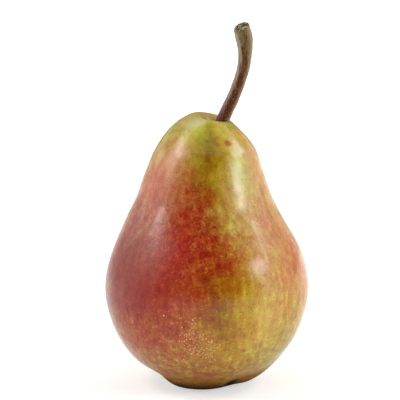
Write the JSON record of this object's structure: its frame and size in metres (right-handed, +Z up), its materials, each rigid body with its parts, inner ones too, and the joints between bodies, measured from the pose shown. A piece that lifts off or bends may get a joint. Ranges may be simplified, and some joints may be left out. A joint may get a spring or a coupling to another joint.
{
  "type": "pear",
  "caption": "Whole ripe pear with a blushed skin, standing upright on its lobed foot, with a curved woody stem and a dried calyx underneath.",
  "frame": {"origin": "on the surface that the pear stands on, under the middle of its belly", "axes": "+Z up along the fruit; -Y is the front, towards the viewer; +X is to the viewer's right, the side that the stem leans to"},
  "size_m": [0.0703, 0.0705, 0.126],
  "materials": {
    "skin": "waxy satin skin, olive yellow ground under a mottled red blush, pale lenticels, russet foot",
    "bark": "dull brown bark with an olive side, fine ridges and a torn, paler end",
    "husk": "dry, dark brown and wrinkled"
  },
  "bodies": {
    "root": {"fruit": "skin", "stem": "bark", "calyx": "husk"}
  },
  "joints": []
}
